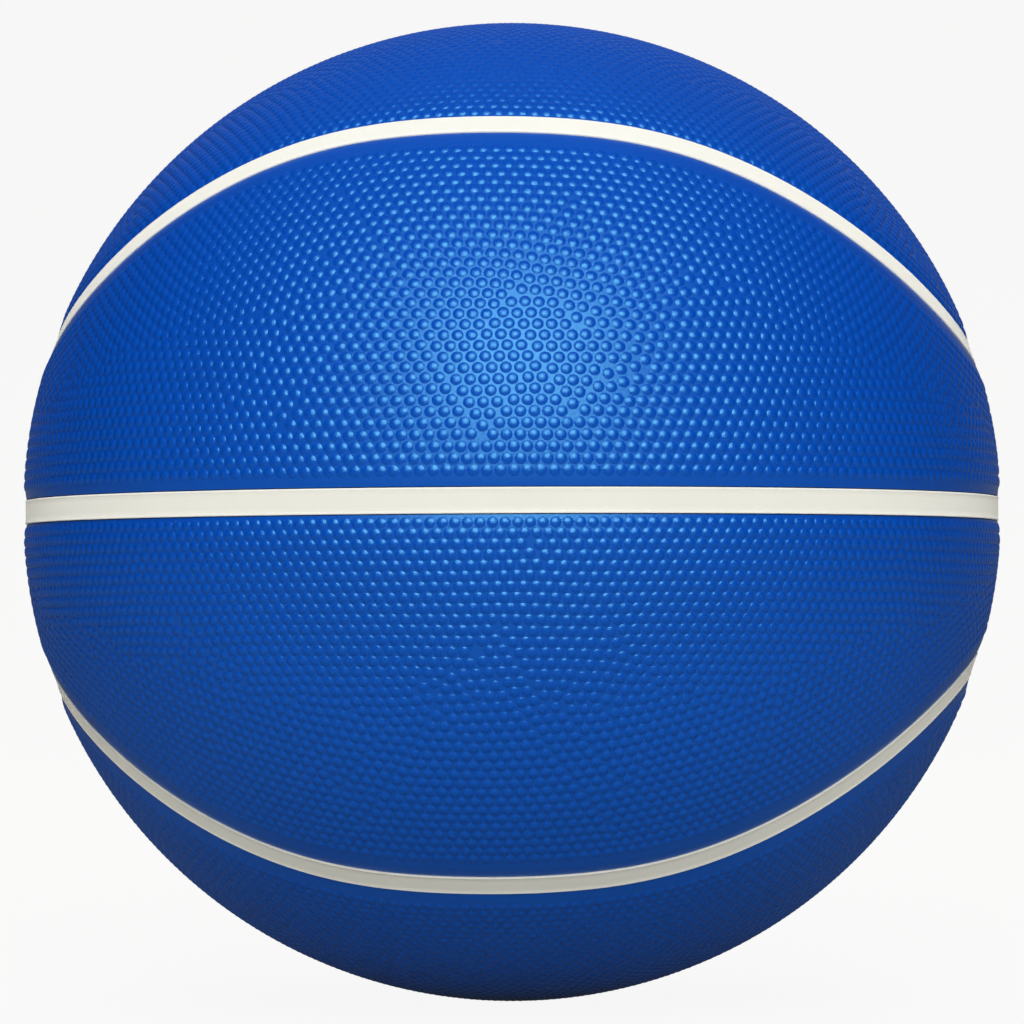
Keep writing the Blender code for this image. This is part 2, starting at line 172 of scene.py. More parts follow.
class BallColours(bpy.types.PropertyGroup):
    """Colours of the rubbers and of the thread, each with the deeper tone of its clouds."""

    cover: colour("Cover", "Blue of the pebbled rubber", (0.0004, 0.0765, 0.525))
    cover_deep: colour("Cover, deep", "Blue of its clouds", (0.0004, 0.068, 0.472))
    strip: colour("Strip", "Cream of the channel strips", (0.86, 0.86, 0.815))
    strip_deep: colour("Strip, deep", "Tint of handled places", (0.82, 0.815, 0.76))
    # Strip lip: the white of a painted highlight along the strips' edges.
    lip: colour("Strip lip", "White of the painted highlight along a strip's lips", (0.93, 0.93, 0.92))
    valve: colour("Valve", "Black of the valve's rubber", (0.018, 0.018, 0.020))
    valve_deep: colour("Valve, deep", "Black of its clouds", (0.012, 0.012, 0.013))
    carcass: colour("Carcass", "Grey of the rubber under the cover", (0.070, 0.072, 0.076))
    carcass_deep: colour("Carcass, deep", "Grey of its clouds", (0.05, 0.05, 0.055))
    thread: colour("Thread", "Wound nylon", (0.72, 0.70, 0.62))
    thread_deep: colour("Thread, deep", "Its duller turns", (0.6, 0.58, 0.5))
    thread_gap: colour("Thread gaps", "Shade between the turns of thread", (0.30, 0.28, 0.23))
    bladder: colour("Bladder", "Black butyl", (0.018, 0.018, 0.020))
    bladder_deep: colour("Bladder, deep", "Black of its clouds", (0.012, 0.012, 0.013))
    gum: colour("Gum", "Soft seal", (0.42, 0.30, 0.16))
    gum_deep: colour("Gum, deep", "Brown of its clouds", (0.36, 0.25, 0.13))


class StageSetup(bpy.types.PropertyGroup):
    """Camera, lamps and floor."""

    azimuth: angle("Azimuth", "Camera's turn about the ball", 4.0)
    elevation: angle("Elevation", "Camera's height above the level strip", -1.25)
    roll: angle("Roll", "Camera's tilt", -0.24)
    distance: length("Distance", "Camera to the ball's centre", 0.968)
    lens: number("Lens", "Focal length in millimetres", 136.6)
    key_height: angle("Key height", "Soft box above the camera", 35.0)
    key_turn: angle("Key turn", "Lamps right of the camera", 1.0)
    key_distance: length("Key distance", "Soft box to the ball's centre", 1.30)
    key_width: length("Key width", "Of the soft box", 0.94)
    key_tall: length("Key tall", "Of the soft box", 0.88)
    key_watts: number("Key power", "Of the soft box in watts", 14.5)
    top_height: angle("Top height", "Top panel above the camera", 102.0)
    top_distance: length("Top distance", "Top panel to the ball's centre", 1.60)
    top_size: length("Top size", "Of the top panel's sides", 2.0)
    top_watts: number("Top power", "Of the top panel in watts", 5.0)
    back_height: angle("Back height", "Back panel above the camera, over the top", 135.0)
    back_distance: length("Back distance", "Back panel to the ball's centre", 1.70)
    back_size: length("Back size", "Of the back panel's sides", 1.6)
    back_watts: number("Back power", "Of the back panel in watts", 18.0)
    sky: number("Sky", "Strength of the even light all round", 0.17)
    sky_tone: number("Sky tone", "Brightness of the sky beyond the floor in the picture", 0.93)
    fill_tint: colour("Fill tint", "Colour of the sky and of the light off the floor", (1.0, 0.975, 0.88))
    floor_tone: number("Floor tone", "Brightness of floor and backdrop in the picture", 0.985)
    floor_grey: number("Floor grey", "Share of the light that the floor gives back", 0.60)
    # The next two set a painted glow of the floor and backdrop, seen only in the ball's gloss.
    floor_gloss: number("Floor in gloss", "Tone of the floor in the ball's gloss", 0.07)
    glow_tone: number("Glow tone", "Tone of the backdrop's middle in the ball's gloss", 0.26)


def settings(context):
    """The scene's own settings, in the order of GROUPS."""
    return [getattr(context.scene, name) for name in GROUPS]


def deselect():
    """Leave nothing selected and no mesh open."""
    if bpy.context.mode != "OBJECT":
        bpy.ops.object.mode_set(mode="OBJECT")
    bpy.ops.object.select_all(action="DESELECT")


def activate(piece):
    """Select one piece alone."""
    deselect()
    piece.select_set(True)
    bpy.context.view_layer.objects.active = piece


def mesh_piece(name, points, edges, faces):
    """A new piece from its points."""
    mesh = bpy.data.meshes.new(name)
    mesh.from_pydata(points, edges, faces)
    mesh.update()
    piece = bpy.data.objects.new(name, mesh)
    bpy.context.scene.collection.objects.link(piece)
    activate(piece)
    return piece


def choose(mesh, kind, chosen):
    """Select only these points or faces of a closed mesh and open it for editing."""
    bpy.context.tool_settings.mesh_select_mode = (kind == "POINTS", False, kind == "FACES")
    for group in (mesh.vertices, mesh.edges, mesh.polygons):
        group.foreach_set("select", np.zeros(len(group), dtype=bool))
    target = mesh.vertices if kind == "POINTS" else mesh.polygons
    target.foreach_set("select", chosen)
    bpy.ops.object.mode_set(mode="EDIT")


def choose_all(piece):
    """Open a piece for editing with all of it selected."""
    activate(piece)
    bpy.ops.object.mode_set(mode="EDIT")
    bpy.ops.mesh.select_all(action="SELECT")


def close_mesh():
    """Leave edit mode."""
    bpy.ops.object.mode_set(mode="OBJECT")


def corners_of(face):
    """A face's run of corners."""
    return slice(face.loop_start, face.loop_start + face.loop_total)


def tree_of(spots):
    """A search tree over some places."""
    tree = kdtree.KDTree(len(spots))
    for index, spot in enumerate(spots):
        tree.insert(spot, index)
    tree.balance()
    return tree


def circle_about(axis, side, count):
    """Evenly turned directions square to an axis, starting at a side."""
    other = axis.cross(side)
    turns = [FULL_TURN * step / count for step in range(count)]
    return [side * math.cos(turn) + other * math.sin(turn) for turn in turns]


def turn_over(piece, axis):
    """Half a turn of a piece about an axis through the ball's middle."""
    activate(piece)
    bpy.ops.transform.rotate(value=math.pi, orient_axis=axis, center_override=CENTRE)
    bpy.ops.object.transform_apply(location=True, rotation=True, scale=True)


def turned_copy(piece, name, axis):
    """A copy of a piece, with its own mesh, half a turn further about an axis."""
    activate(piece)
    bpy.ops.object.duplicate(linked=False)
    copy = bpy.context.view_layer.objects.active
    copy.name = name
    copy.data.name = name
    turn_over(copy, axis)
    return copy


def spun_section(name, section, steps, sweep, softness=0.0):
    """A closed section of radii and heights, its corners softened, spun about Z."""
    weld = 0.002 * MM
    points = [(radius, 0.0, height) for radius, height in section]
    edges = [(index, (index + 1) % len(points)) for index in range(len(points))]
    piece = mesh_piece(name, points, edges, [])
    choose_all(piece)
    if softness:
        bpy.ops.mesh.bevel(affect="VERTICES", offset=softness, segments=3, clamp_overlap=True)
        bpy.ops.mesh.select_all(action="SELECT")
    bpy.ops.mesh.spin(steps=steps, angle=sweep, center=CENTRE, axis=RISE, use_auto_merge=False)
    bpy.ops.mesh.select_all(action="SELECT")
    bpy.ops.mesh.remove_doubles(threshold=weld)
    close_mesh()
    return piece


def finish_shell(piece, crease):
    """Turn a closed shell's faces outward and keep corners past the crease angle crisp."""
    choose_all(piece)
    bpy.ops.mesh.normals_make_consistent(inside=False)
    close_mesh()
    piece.data.shade_smooth()
    bpy.ops.object.shade_smooth_by_angle(angle=math.radians(crease))


def paint(piece, material):
    """Give a piece this material alone."""
    piece.data.materials.clear()
    piece.data.materials.append(material)


def stand_for(piece, node, body, material):
    """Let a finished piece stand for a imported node."""
    paint(piece, material)
    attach(piece, body)
    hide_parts(node)


class ChannelMap:
    """Where the strips run on the ball, as directions from its centre."""

    OVAL_SAMPLES = 3000
    PATH_SAMPLES = 400
    WIDEST_TURN = 0.6
    HALVINGS = 50

    def __init__(self, shape):
        radius = shape.radius
        self.radius = radius
        self.edge = (0.5 * shape.strip_width + shape.strip_play) / radius
        self.at_sides = shape.oval_at_sides / radius
        at_front = shape.oval_at_front / radius
        middle = 0.5 * (self.at_sides + at_front)
        diagonal = shape.oval_on_diagonals / radius
        self.mean = 0.5 * (middle + diagonal)
        self.swing = 0.5 * (self.at_sides - at_front)
        self.squareness = 0.5 * (middle - diagonal)
        turns = [FULL_TURN * step / self.OVAL_SAMPLES for step in range(self.OVAL_SAMPLES)]
        self.oval_tree = tree_of([self.oval_point(turn, 0.0) for turn in turns])

    def oval_latitude(self, turn):
        """Angle of the upper oval above the level strip, at a turn about Z from +X."""
        swing = self.swing * math.cos(2.0 * turn)
        return self.mean + swing + self.squareness * math.cos(4.0 * turn)

    def oval_point(self, turn, offset):
        """Direction to the upper oval, moved across its path and away from the level strip."""
        height = self.oval_latitude(turn)
        slope = -2.0 * self.swing * math.sin(2.0 * turn)
        slope -= 4.0 * self.squareness * math.sin(4.0 * turn)
        along = Vector((-math.sin(turn), math.cos(turn), 0.0))
        outward = Vector((math.cos(turn), math.sin(turn), 0.0))
        middle = outward * math.cos(height) + RISE * math.sin(height)
        upward = RISE * math.cos(height) - outward * math.sin(height)
        across = (upward * math.cos(height) - along * slope).normalized()
        return middle * math.cos(offset) + across * math.sin(offset)

    def level_point(self, turn, offset):
        """Direction to the level strip, moved upward."""
        outward = Vector((math.cos(turn), math.sin(turn), 0.0))
        return outward * math.cos(offset) + RISE * math.sin(offset)

    def upright_point(self, turn, offset):
        """Direction to the upright strip, from +X over +Z, moved toward -Y."""
        outward = Vector((math.cos(turn), 0.0, math.sin(turn)))
        return outward * math.cos(offset) - Vector((0.0, math.sin(offset), 0.0))

    def oval_turn(self, offset, side):
        """The turn, just in front of +X, where lines beside the oval and the upright strip meet."""
        target = math.sin(side)
        low = 0.0
        high = self.WIDEST_TURN
        for _ in range(self.HALVINGS):
            middle = 0.5 * (low + high)
            if -self.oval_point(-middle, offset).y < target:
                low = middle
            else:
                high = middle
        return -low

    def below_oval(self, place):
        """Angle from a place up to the upper oval, negative above it."""
        chord = self.oval_tree.find(place)[2]
        arc = 2.0 * math.asin(0.5 * chord)
        above = math.asin(place.z) > self.oval_latitude(math.atan2(place.y, place.x))
        return -arc if above else arc

    def arcs(self, angles):
        """Arcs from the strips' edges, from angles to the strips' middles."""
        return [(angle_to - self.edge) * self.radius for angle_to in angles]

    def angles(self, arcs):
        """Angles to the strips' middles, from arcs to the strips' edges."""
        return [self.edge + arc / self.radius for arc in arcs]

    def line(self, spacing, *legs):
        """Evenly spaced directions along legs that meet end to end."""
        found = []
        for path, start, end, offset in legs:
            turns = np.linspace(start, end, self.PATH_SAMPLES)
            samples = np.array([path(turn, offset) for turn in turns])
            steps = np.linalg.norm(np.diff(samples, axis=0), axis=1)
            run = np.concatenate([[0.0], np.cumsum(steps)])
            count = max(1, round(run[-1] * self.radius / spacing))
            places = np.interp(np.linspace(0.0, run[-1], count + 1)[:-1], run, turns)
            found += [path(turn, offset) for turn in places]
        return found


class SideField:
    """A panel between the level strip and the upper oval, at the front."""

    middle = Vector((0.0, -1.0, 0.35)).normalized()
    HOLE_SIDES = 40
    FEWEST_IN_RING = 6

    def __init__(self, channels, hole=0.0):
        self.channels = channels
        self.hole = hole
        self.valve = Vector((0.0, -VALVE_AXIS.y, VALVE_AXIS.z))

    def gaps(self, place):
        """Arcs to the level strip, the oval, the upright strip and the valve's hole."""
        channels = self.channels
        height = math.asin(place.z)
        found = channels.arcs((height, channels.below_oval(place), math.asin(-place.y)))
        if self.hole:
            found.append(place.angle(self.valve) * channels.radius - self.hole)
        return found

    def loops(self, margins, spacing):
        """Closed lines of directions at these distances inside each edge."""
        channels = self.channels
        low, high, side = channels.angles(margins[:3])
        start = -math.asin(math.sin(side) / math.cos(low))
        turn = channels.oval_turn(-high, side)
        corner = channels.oval_point(turn, -high)
        foot = math.asin(math.sin(low) / math.cos(side))
        head = math.atan2(corner.z, corner.x)
        rim = channels.line(
            spacing,
            (channels.level_point, start, -math.pi - start, low),
            (channels.upright_point, math.pi - foot, math.pi - head, side),
            (channels.oval_point, -math.pi - turn, turn, -high),
            (channels.upright_point, head, foot, side),
        )
        return [rim, self.hole_ring(margins[3], spacing)] if self.hole else [rim]

    def hole_ring(self, margin, spacing):
        """A ring of directions around the valve's hole."""
        radius = self.hole + margin
        fewest = self.FEWEST_IN_RING if margin else self.HOLE_SIDES
        count = max(fewest, round(FULL_TURN * radius / spacing))
        reach = radius / self.channels.radius
        ring = circle_about(self.valve, RIGHT, count)
        return [self.valve * math.cos(reach) + outward * math.sin(reach) for outward in ring]


class CapField:
    """A panel inside the upper oval, in front of the upright strip."""

    middle = Vector((0.0, -0.42, 1.0)).normalized()
    hole = 0.0

    def __init__(self, channels):
        self.channels = channels

    def gaps(self, place):
        """Arcs to the oval and the upright strip."""
        return self.channels.arcs((-self.channels.below_oval(place), math.asin(-place.y)))

    def loops(self, margins, spacing):
        """Closed line of directions at these distances inside each edge."""
        channels = self.channels
        high, side = channels.angles(margins[:2])
        turn = channels.oval_turn(high, side)
        corner = channels.oval_point(turn, high)
        start = math.atan2(corner.z, corner.x)
        rim = channels.line(
            spacing,
            (channels.upright_point, start, math.pi - start, side),
            (channels.oval_point, -math.pi - turn, turn, high),
        )
        return [rim]


class PebbleRows:
    """Rows of pebbles that follow a panel's edges inward until they meet in its middle."""

    # Reaches, steps and the least rise are shares of the pitch, and pushes are shares of the overlap.
    CLOSE = 0.90
    MATE_REACH = 1.25
    LEAST_RISE = 0.5
    EDGE_SLACK = 0.08 * MM
    REACH = 1.06
    PAIR_REACH = 1.5
    PAIR_ROUNDS = 8
    ROUNDS = 90
    HARD_ROUNDS = 40
    SOFT_PUSH = 0.28
    HARD_PUSH = 0.04
    CLASH_PUSH = 0.45
    HOLE = 0.80
    HOLE_STEP = 1.02
    HOLE_TURNS = 16

    def __init__(self, field, margins, pitch, least):
        self.field = field
        self.margins = margins
        self.pitch = pitch / field.channels.radius
        self.least = least / field.channels.radius
        self.places = []
        self.cells = {}
        self.waiting = []
        self.count = 0
        for loop in field.loops(margins, pitch):
            for place in loop:
                self.add(place)
        self.fixed = len(self.places)
        while self.waiting:
            place = heapq.heappop(self.waiting)[2]
            if not self.mates(place, self.CLOSE * self.pitch):
                self.add(place)
        self.settle()
        self.fill_holes()
        self.settle()

    def cell(self, place):
        """The search cell that holds a place."""
        return tuple(math.floor(value / self.pitch) for value in place)

    def mates(self, place, reach):
        """Pebbles already within reach of a place."""
        across, along, up = self.cell(place)
        found = []
        for first in (across - 1, across, across + 1):
            for second in (along - 1, along, along + 1):
                for third in (up - 1, up, up + 1):
                    for index in self.cells.get((first, second, third), ()):
                        if (self.places[index] - place).length < reach:
                            found.append(index)
        return found

    def depth(self, place):
        """How far a place lies inside the first row."""
        return min(gap - margin for gap, margin in zip(self.field.gaps(place), self.margins))

    def add(self, place):
        """Put a pebble down and note the places that it opens beside its mates."""
        near = self.mates(place, self.MATE_REACH * self.pitch)
        self.cells.setdefault(self.cell(place), []).append(len(self.places))
        self.places.append(place)
        for index in near:
            mate = self.places[index]
            half = 0.5 * (place - mate).length
            rise = math.sqrt(max(self.pitch**2 - half**2, (self.LEAST_RISE * self.pitch) ** 2))
            sideways = place.cross(mate).normalized()
            for step in (rise, -rise):
                spot = (0.5 * (place + mate) + sideways * step).normalized()
                depth = self.depth(spot)
                if depth > -self.EDGE_SLACK:
                    self.count += 1
                    heapq.heappush(self.waiting, (round(depth, 7), self.count, spot))

    def settle(self):
        """Push crowded pebbles apart, but leave the rows along the edges."""
        spots = np.array(self.places)
        for turn in range(self.ROUNDS):
            hard = turn >= self.ROUNDS - self.HARD_ROUNDS
            if turn % self.PAIR_ROUNDS == 0:
                first, second = self.pairs(spots)
            apart = spots[first] - spots[second]
            gap = np.linalg.norm(apart, axis=1)
            push = np.clip(self.REACH * self.pitch - gap, 0.0, None)
            push *= self.HARD_PUSH if hard else self.SOFT_PUSH
            if hard:
                push += np.clip(self.least - gap, 0.0, None) * self.CLASH_PUSH
            push /= gap
            move = np.zeros_like(spots)
            np.add.at(move, first, apart * push[:, None])
            np.add.at(move, second, -apart * push[:, None])
            move[: self.fixed] = 0.0
            spots = spots + move
            spots = spots / np.linalg.norm(spots, axis=1)[:, None]
        self.places = [Vector(spot) for spot in spots]

    def pairs(self, spots):
        """Index pairs of pebbles near enough to push each other, as two rows."""
        tree = tree_of(spots)
        found = [
            (index, other)
            for index, spot in enumerate(spots)
            for _, other, _ in tree.find_range(spot, self.PAIR_REACH * self.pitch)
            if other > index
        ]
        return np.array(found).T

    def fill_holes(self):
        """Put a pebble into every hole that is left where rows meet."""
        hole = self.HOLE * self.pitch
        tree = tree_of(self.places)
        added = []
        for place in self.places[self.fixed :]:
            side = place.orthogonal().normalized()
            for outward in circle_about(place, side, self.HOLE_TURNS):
                spot = (place + outward * self.HOLE_STEP * self.HOLE * self.pitch).normalized()
                if tree.find(spot)[2] < hole or any((spot - mate).length < hole for mate in added):
                    continue
                if self.depth(spot) > 0.0:
                    added.append(spot)
        self.places += added


class PanelMould:
    """Moulds one panel: skin over its points, thickness, then a dome at every pebble."""

    RIM_STEP = 1.4 * MM
    RIM_CREASE = math.radians(50.0)
    ROLL_STEPS = (0.5 * MM, 1.1 * MM, 1.9 * MM, 2.9 * MM, 4.1 * MM, 5.3 * MM)
    SUPPORT_STEP = 0.75 * MM
    SUPPORT_GAP = 1.3 * MM
    # The next three are shares of a pebble's foot.
    SUPPORT_CLEAR = 1.10
    DOME_REACH = 1.03
    HUB_REACH = 0.5
    FOOT_ROUNDNESS = 0.18
    SAME_POINT = 1e-9
    MAP_WIDTH = 0.98
    MAP_HEIGHT = 0.48
    MAP_BORDER = 0.01
    INNER_SHIFT = 0.5
    SEAT_SLACK = 0.02 * MM

    def __init__(self, name, field, rows, shape, pebbles, foot):
        self.name = name
        self.foot = foot
        self.shoulder = pebbles.shoulder_rise * pebbles.height
        self.field = field
        self.rows = rows
        self.shape = shape
        self.pebbles = pebbles
        self.radius = shape.radius
        self.seat = shape.radius - shape.cover_thickness

    def lift(self, place):
        """The cover's surface between the pebbles, rolled down beside the strips."""
        gap = max(0.0, min(self.field.gaps(place)))
        near = max(0.0, 1.0 - gap / self.shape.roll_length)
        drop = self.shape.roll_drop * near * near
        return place * (self.radius - self.pebbles.height - drop)

    def flat(self, place):
        """Place on a map that keeps angles, centred on the panel."""
        middle = self.field.middle
        up = middle.cross(RIGHT)
        scale = 2.0 / (1.0 + place.dot(middle))
        return Vector((place.dot(RIGHT) * scale, place.dot(up) * scale))

    def supports(self):
        """Extra points that carry the rolled edge, clear of the first row and of each other."""
        clear = self.SUPPORT_CLEAR * self.foot
        found = []
        for step in self.ROLL_STEPS:
            ring = [place for loop in self.field.loops((step,) * 4, self.SUPPORT_STEP) for place in loop]
            kept = []
            for place in ring:
                if self.rows.depth(place) > -clear:
                    continue
                if kept and (kept[-1] - place).length * self.radius < self.SUPPORT_GAP:
                    continue
                kept.append(place)
            found += kept
        return found

    def skin(self):
        """Triangles over the pebbles' middles, the roll's points and the rim."""
        places = list(self.rows.places)
        borders = []
        for loop in self.field.loops((0.0,) * 4, self.RIM_STEP):
            start = len(places)
            places += loop
            count = len(loop)
            borders += [(start + step, start + (step + 1) % count) for step in range(count)]
        places += self.supports()
        flat = [self.flat(place) for place in places]
        _, _, faces, origins, _, _ = delaunay_2d_cdt(flat, borders, [], 1, self.SAME_POINT)
        order = [origin[0] for origin in origins]
        if self.field.hole:
            faces = [face for face in faces if not self.in_hole([places[order[i]] for i in face])]
        points = [self.lift(places[index]) for index in order]
        self.is_pebble = [index < len(self.rows.places) for index in order]
        return points, faces

    def in_hole(self, corners):
        """Whether a face lies in the valve's hole."""
        middle = sum(corners, Vector()) / len(corners)
        return middle.angle(self.field.valve) * self.radius < self.field.hole

    def mould(self):
        """The finished panel, in the front upper place of its kind."""
        points, faces = self.skin()
        piece = mesh_piece(self.name, points, [], faces)
        mesh = piece.data
        wall = piece.modifiers.new("Wall", "SOLIDIFY")
        wall.thickness = 0.5 * self.shape.cover_thickness
        wall.offset = -1.0
        bpy.ops.object.modifier_apply(modifier=wall.name)
        outer = len(points)
        for vertex in mesh.vertices[outer:]:
            vertex.co = vertex.co.normalized() * self.seat
        self.mark_rim(mesh)
        chosen = np.zeros(len(mesh.vertices), dtype=bool)
        chosen[:outer] = self.is_pebble
        self.raise_pebbles(mesh, chosen, points)
        self.flatten_map(mesh)
        mesh.shade_smooth()
        return piece

    def mark_rim(self, mesh):
        """Keep the corner between skin and wall crisp."""
        choose(mesh, "POINTS", np.zeros(len(mesh.vertices), dtype=bool))
        bpy.context.tool_settings.mesh_select_mode = (False, True, False)
        bpy.ops.mesh.edges_select_sharp(sharpness=self.RIM_CREASE)
        bpy.ops.mesh.mark_sharp()
        close_mesh()

    def raise_pebbles(self, mesh, chosen, points):
        """Cut a round foot at every pebble, then raise its shoulder and its top."""
        choose(mesh, "POINTS", chosen)
        bpy.ops.mesh.bevel(
            affect="VERTICES", offset=self.foot, segments=2, profile=self.FOOT_ROUNDNESS, clamp_overlap=True
        )
        close_mesh()
        tree = tree_of([point for point, pebble in zip(points, self.is_pebble) if pebble])
        hub = self.HUB_REACH * self.foot
        choose(mesh, "POINTS", [tree.find(vertex.co)[2] < hub for vertex in mesh.vertices])
        bpy.ops.mesh.dissolve_verts()
        close_mesh()
        choose(mesh, "FACES", self.round_feet(mesh, tree))
        bpy.ops.mesh.inset(
            thickness=self.pebbles.shoulder_inset * self.foot,
            depth=self.shoulder,
            use_individual=True,
            use_even_offset=False,
        )
        bpy.ops.mesh.poke(offset=self.pebbles.height - self.shoulder, center_mode="MEDIAN_WEIGHTED")
        close_mesh()
        self.mark_domes(mesh, tree)

    def round_feet(self, mesh, tree):
        """Find the pebbles' feet and bring the points of each to one distance from its middle."""
        feet = []
        for face in mesh.polygons:
            middle, _, gap = tree.find(face.center)
            feet.append(gap < self.HUB_REACH * self.foot)
            if not feet[-1]:
                continue
            for index in face.vertices:
                vertex = mesh.vertices[index]
                spoke = vertex.co - middle
                vertex.co = middle + spoke * (self.foot / spoke.length)
        return feet

    def mark_domes(self, mesh, tree):
        """Crease the pebbles' feet and note which faces are theirs, for their smoother skin."""
        reach = self.DOME_REACH * self.foot
        domes = []
        marks = np.zeros(len(mesh.loops), dtype=np.float32)
        for face in mesh.polygons:
            middle = tree.find(face.center)[0]
            spokes = [(mesh.vertices[index].co - middle).length for index in face.vertices]
            domes.append(max(spokes) < reach)
            marks[corners_of(face)] = domes[-1]
        layer = mesh.attributes.new("dome", "FLOAT", "CORNER")
        layer.data.foreach_set("value", marks)
        choose(mesh, "FACES", domes)
        bpy.ops.mesh.region_to_loop()
        bpy.ops.mesh.mark_sharp()
        close_mesh()

    def flatten_map(self, mesh):
        """Lay the outer and the inner skin side by side on the piece's own map."""
        flat = np.array([self.flat(vertex.co.normalized()) for vertex in mesh.vertices])
        flat -= flat.min(axis=0)
        flat /= flat.max()
        fit = min(self.MAP_WIDTH, self.MAP_HEIGHT / flat[:, 1].max())
        corners = np.empty(len(mesh.loops), dtype=np.int32)
        mesh.loops.foreach_get("vertex_index", corners)
        chart = flat[corners] * fit + self.MAP_BORDER
        within = [vertex.co.length < self.seat + self.SEAT_SLACK for vertex in mesh.vertices]
        for face in mesh.polygons:
            if all(within[index] for index in face.vertices):
                chart[corners_of(face), 1] += self.INNER_SHIFT
        layer = mesh.uv_layers.new(name="OFBake")
        layer.data.foreach_set("uv", chart.astype(np.float32).ravel())


def new_material(name):
    """A node material with its shader."""
    material = bpy.data.materials.new(name)
    material.use_nodes = True
    return material, material.node_tree, material.node_tree.nodes["Principled BSDF"]


def fill_inputs(tree, node, values):
    """Set a node's inputs to numbers and colours, or join them to other nodes' outputs."""
    for key, value in values.items():
        if isinstance(value, bpy.types.NodeSocket):
            tree.links.new(value, node.inputs[key])
        else:
            node.inputs[key].default_value = value


def add_node(tree, kind, values=None, **options):
    """A node with its options set and its inputs filled."""
    node = tree.nodes.new(kind)
    for key, value in options.items():
        setattr(node, key, value)
    fill_inputs(tree, node, values or {})
    return node


def worked_out(tree, operation, *values):
    """The result of a sum on numbers and outputs."""
    return add_node(tree, "ShaderNodeMath", dict(enumerate(values)), operation=operation).outputs[0]


def mapped(tree, value, start, end, low, high):
    """An output moved from one range into another."""
    limits = {"From Min": start, "From Max": end, "To Min": low, "To Max": high}
    return add_node(tree, "ShaderNodeMapRange", {"Value": value, **limits}).outputs["Result"]


def blended(tree, share, first, second):
    """A colour between two, each of them a colour or an output."""
    # On this node the colours are inputs 6 and 7, and the blended colour is output 2.
    colours = {6: first, 7: second}
    return add_node(tree, "ShaderNodeMix", {"Factor": share, **colours}, data_type="RGBA").outputs[2]


def marked(tree, name):
    """A piece's own mark, from 0 to 1."""
    return add_node(tree, "ShaderNodeAttribute", attribute_name=name).outputs["Fac"]


def feed_of(shader, key):
    """The output that an input is joined to."""
    return shader.inputs[key].links[0].from_socket


def grain_group():
    """Node group, built once: uneven tone of moulded rubber and the fine height of its skin."""
    name = "Moulded rubber grain"
    if name in bpy.data.node_groups:
        return bpy.data.node_groups[name]
    tree = bpy.data.node_groups.new(name, "ShaderNodeTree")
    for way, labels in (("INPUT", ("Cloud Scale", "Grain Scale")), ("OUTPUT", ("Tone", "Grain"))):
        for label in labels:
            tree.interface.new_socket(label, in_out=way, socket_type="NodeSocketFloat")
    scales = add_node(tree, "NodeGroupInput").outputs
    place = add_node(tree, "ShaderNodeTexCoord").outputs["Object"]
    noises = {}
    for label, scale, detail, roughness in (
        ("Tone", scales["Cloud Scale"], 5.0, 0.6),
        ("Grain", scales["Grain Scale"], 3.0, 0.55),
    ):
        values = {"Vector": place, "Scale": scale, "Detail": detail, "Roughness": roughness}
        noises[label] = add_node(tree, "ShaderNodeTexNoise", values).outputs["Fac"]
    add_node(tree, "NodeGroupOutput", noises)
    return tree


def rubber(colours, key):
    """A moulded rubber: two close tones, uneven gloss and a fine skin."""
    name, roughness, spread, height = FINISHES[key]
    pale = (*getattr(colours, key), 1.0)
    deep = (*getattr(colours, key + "_deep"), 1.0)
    material, tree, shader = new_material(name)
    scales = {"Cloud Scale": CLOUD_SCALE, "Grain Scale": GRAIN_SCALE}
    skin = add_node(tree, "ShaderNodeGroup", scales, node_tree=grain_group()).outputs
    relief = add_node(tree, "ShaderNodeBump", {"Strength": 1.0, "Distance": height, "Height": skin["Grain"]})
    looks = {
        "Base Color": blended(tree, skin["Tone"], deep, pale),
        "Roughness": mapped(tree, skin["Grain"], 0.0, 1.0, roughness - spread, roughness + spread),
        "Normal": relief.outputs["Normal"],
    }
    fill_inputs(tree, shader, looks)
    return material, tree, shader


def tone_by(tree, shader, mask, tone, share):
    """Blend a shader's colour toward a tone by a mask."""
    amount = worked_out(tree, "MULTIPLY", mask, share)
    blend = blended(tree, amount, feed_of(shader, "Base Color"), (*tone, 1.0))
    fill_inputs(tree, shader, {"Base Color": blend})


